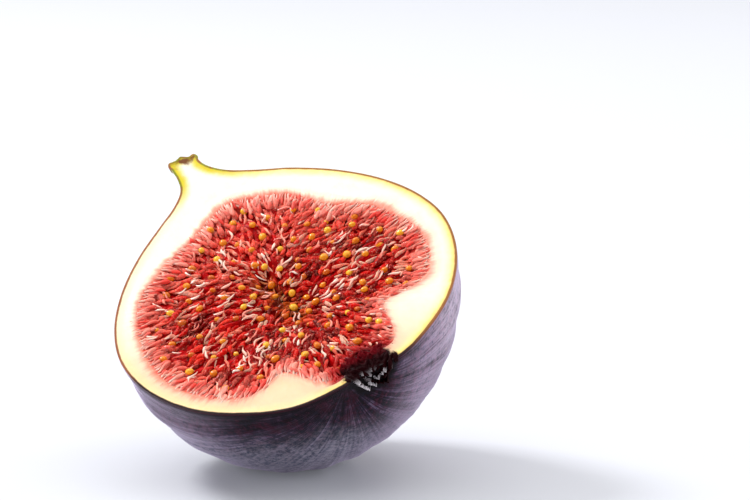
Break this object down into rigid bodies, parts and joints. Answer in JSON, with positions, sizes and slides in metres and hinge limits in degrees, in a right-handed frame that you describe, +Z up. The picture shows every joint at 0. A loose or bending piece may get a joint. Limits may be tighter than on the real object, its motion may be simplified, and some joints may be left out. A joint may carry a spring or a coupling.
{
  "type": "halved fresh fig",
  "caption": "Half of a ripe purple fig cut lengthwise, with pale flesh, red pulp of florets and seeds, dark eye and short stalk, lying on its round back.",
  "frame": {"origin": "on the surface it lies on, below the middle of its bounding box", "axes": "+Z up; -Y to the front, where the cut face leans; the stalk points to the back and left, the eye to the front and right"},
  "size_m": [0.0548, 0.0538, 0.0463],
  "materials": {
    "skin_and_flesh": "satin",
    "pulp": "gloss",
    "eye_scales": "matte"
  },
  "bodies": {
    "root": {"wall": "skin_and_flesh", "pulp": "pulp", "eye_scales": "eye_scales"}
  },
  "joints": []
}
